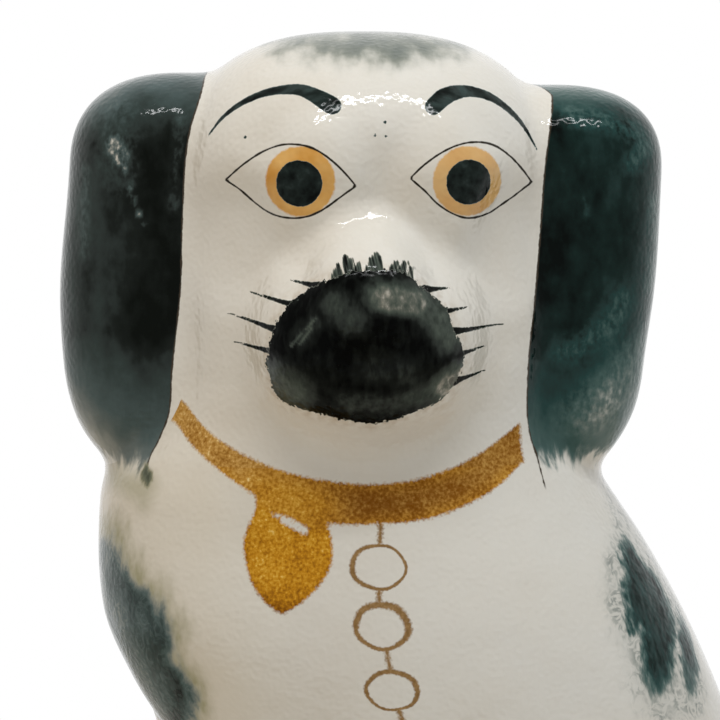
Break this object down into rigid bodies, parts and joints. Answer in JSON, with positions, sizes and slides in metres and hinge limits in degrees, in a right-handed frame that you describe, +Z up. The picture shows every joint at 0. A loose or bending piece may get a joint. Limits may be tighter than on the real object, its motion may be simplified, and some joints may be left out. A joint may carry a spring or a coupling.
{
  "type": "ceramic dog figurine",
  "caption": "Hollow earthenware spaniel mantelpiece figure, seated side-on with its head turned to the front, hanging ears, free-standing forelegs and a flat closed foot.",
  "frame": {"origin": "middle of the foot, on the plane of the table, in the plane of the front and back mould seam", "axes": "+Z up to the crown; +X to the viewer's right, towards the rump; -Y towards the viewer, where the face looks"},
  "size_m": [0.1605, 0.1049, 0.24],
  "materials": {
    "white_glaze": "cream-white gloss glaze over earthenware, with painted enamel face, collar, chain and patches",
    "black_enamel": "bottle-black brushed enamel under gloss glaze",
    "bare_clay": "unglazed matt fired clay"
  },
  "bodies": {
    "root": {"head_front": "white_glaze", "head_back": "white_glaze", "body_front": "white_glaze", "body_back": "white_glaze", "left_ear": "black_enamel", "right_ear": "black_enamel", "left_foreleg": "white_glaze", "right_foreleg": "white_glaze", "tail": "black_enamel", "foot_slab": "bare_clay"}
  },
  "joints": []
}
